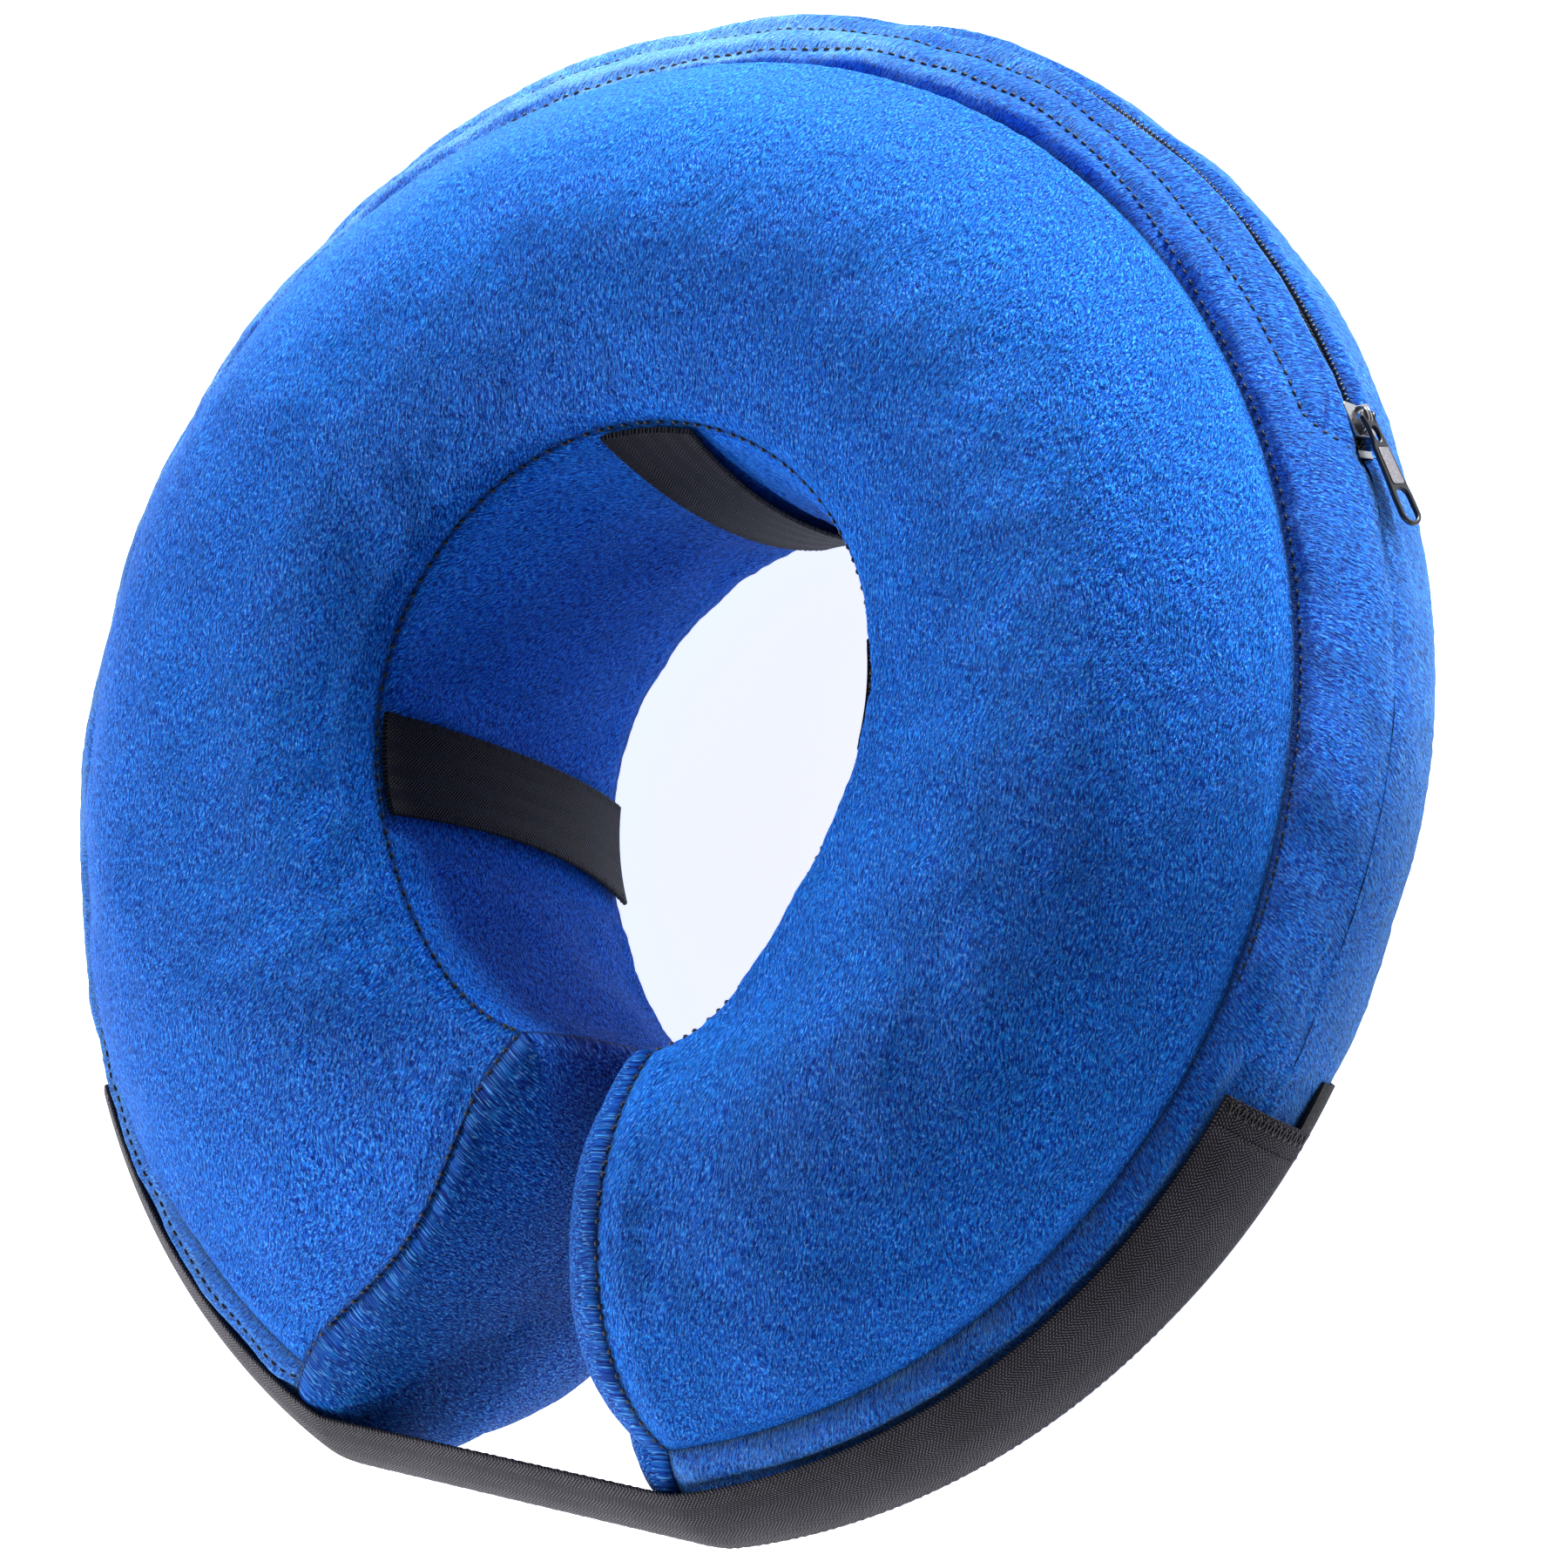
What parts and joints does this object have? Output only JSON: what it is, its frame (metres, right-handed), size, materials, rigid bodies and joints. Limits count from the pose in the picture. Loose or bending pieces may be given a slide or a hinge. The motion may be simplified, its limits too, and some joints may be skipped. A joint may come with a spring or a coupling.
{
  "type": "inflatable recovery collar",
  "caption": "Inflatable ring collar with a zip-on plush cover, a neck opening with webbing keepers, and a hook-and-loop strap that closes the gap between its arms.",
  "frame": {"origin": "middle of the collar's bounding box, on the plane that the collar's rear face rests on", "axes": "+Z along the axis of the neck opening towards the front face; -Y towards the gap between the arms; +X towards the arm that the strap is fastened to"},
  "size_m": [0.359, 0.3577, 0.1294],
  "materials": {
    "blue_plush": "matte",
    "clear_vinyl": "gloss",
    "valve_plastic": "satin",
    "black_webbing": "matte",
    "hook_tape": "matte",
    "loop_tape": "matte",
    "zipper_coil": "satin",
    "zipper_tape": "matte",
    "gunmetal": "satin"
  },
  "bodies": {
    "ring": {"cover_front_panel": "blue_plush", "cover_rear_panel": "blue_plush", "cover_neck_band": "blue_plush", "cover_outer_front_strip": "blue_plush", "cover_outer_rear_strip": "blue_plush", "end_panel_right": "blue_plush", "bladder_front_sheet": "clear_vinyl", "bladder_rear_sheet": "clear_vinyl", "valve_base": "valve_plastic", "valve_plug": "valve_plastic", "neck_loop_top": "black_webbing", "neck_loop_right": "black_webbing", "landing_tape": "loop_tape", "zipper_coil_front": "zipper_coil", "zipper_coil_rear": "zipper_coil", "zipper_tape_front": "zipper_tape", "zipper_tape_rear": "zipper_tape", "zipper_top_stop": "gunmetal", "zipper_bottom_stop": "gunmetal"},
    "left_arm": {"arm_front_panel": "blue_plush", "arm_rear_panel": "blue_plush", "arm_neck_band": "blue_plush", "arm_outer_front_strip": "blue_plush", "arm_outer_rear_strip": "blue_plush", "end_panel_left": "blue_plush", "arm_bladder_front_sheet": "clear_vinyl", "arm_bladder_rear_sheet": "clear_vinyl", "neck_loop_left": "black_webbing", "strap_sewn_end": "black_webbing", "strap_bridge": "black_webbing"},
    "strap_1": {"strap_segment_1": "black_webbing"},
    "strap_2": {"strap_segment_2": "black_webbing"},
    "strap_3": {"strap_segment_3": "black_webbing"},
    "strap_4": {"strap_segment_4": "black_webbing", "hook_patch_4": "hook_tape"},
    "strap_5": {"strap_segment_5": "black_webbing", "hook_patch_5": "hook_tape"},
    "slider": {"zipper_slider": "gunmetal", "slider_bail": "gunmetal"},
    "tab": {"pull_tab": "gunmetal"}
  },
  "joints": [
    {"name": "ring_flex", "type": "hinge", "parent": "ring", "child": "left_arm", "pos_m": [-0.15874, 0.08682, 0.0635], "axis": [0, 0, -1], "range_deg": [0, 20]},
    {"name": "strap_peel_1", "type": "hinge", "parent": "left_arm", "child": "strap_1", "pos_m": [0.05316, -0.17727, 0.0635], "axis": [0, 0, -1], "range_deg": [0, 20]},
    {"name": "strap_peel_2", "type": "hinge", "parent": "strap_1", "child": "strap_2", "pos_m": [0.08558, -0.16382, 0.0635], "axis": [0, 0, -1], "range_deg": [0, 20]},
    {"name": "strap_peel_3", "type": "hinge", "parent": "strap_2", "child": "strap_3", "pos_m": [0.11482, -0.14438, 0.0635], "axis": [0, 0, -1], "range_deg": [0, 20]},
    {"name": "strap_peel_4", "type": "hinge", "parent": "strap_3", "child": "strap_4", "pos_m": [0.13977, -0.11969, 0.0635], "axis": [0, 0, -1], "range_deg": [0, 20]},
    {"name": "strap_peel_5", "type": "hinge", "parent": "strap_4", "child": "strap_5", "pos_m": [0.15951, -0.09066, 0.0635], "axis": [0, 0, -1], "range_deg": [0, 20]},
    {"name": "zip_slide", "type": "hinge", "parent": "ring", "child": "slider", "pos_m": [0, -0.0034, 0.0635], "axis": [0, 0, 1], "range_deg": [0, 104.5]},
    {"name": "tab_swing", "type": "hinge", "parent": "slider", "child": "tab", "pos_m": [0.15221, 0.09927, 0.07429], "axis": [-0.3106, -0.2095, 0.9272], "range_deg": [0, 165]}
  ],
  "couplings": [
    {"joint": "strap_peel_1", "follows": "ring_flex", "ratio": 1},
    {"joint": "strap_peel_2", "follows": "ring_flex", "ratio": 1},
    {"joint": "strap_peel_3", "follows": "ring_flex", "ratio": 1},
    {"joint": "strap_peel_4", "follows": "ring_flex", "ratio": 1},
    {"joint": "strap_peel_5", "follows": "ring_flex", "ratio": 1}
  ]
}
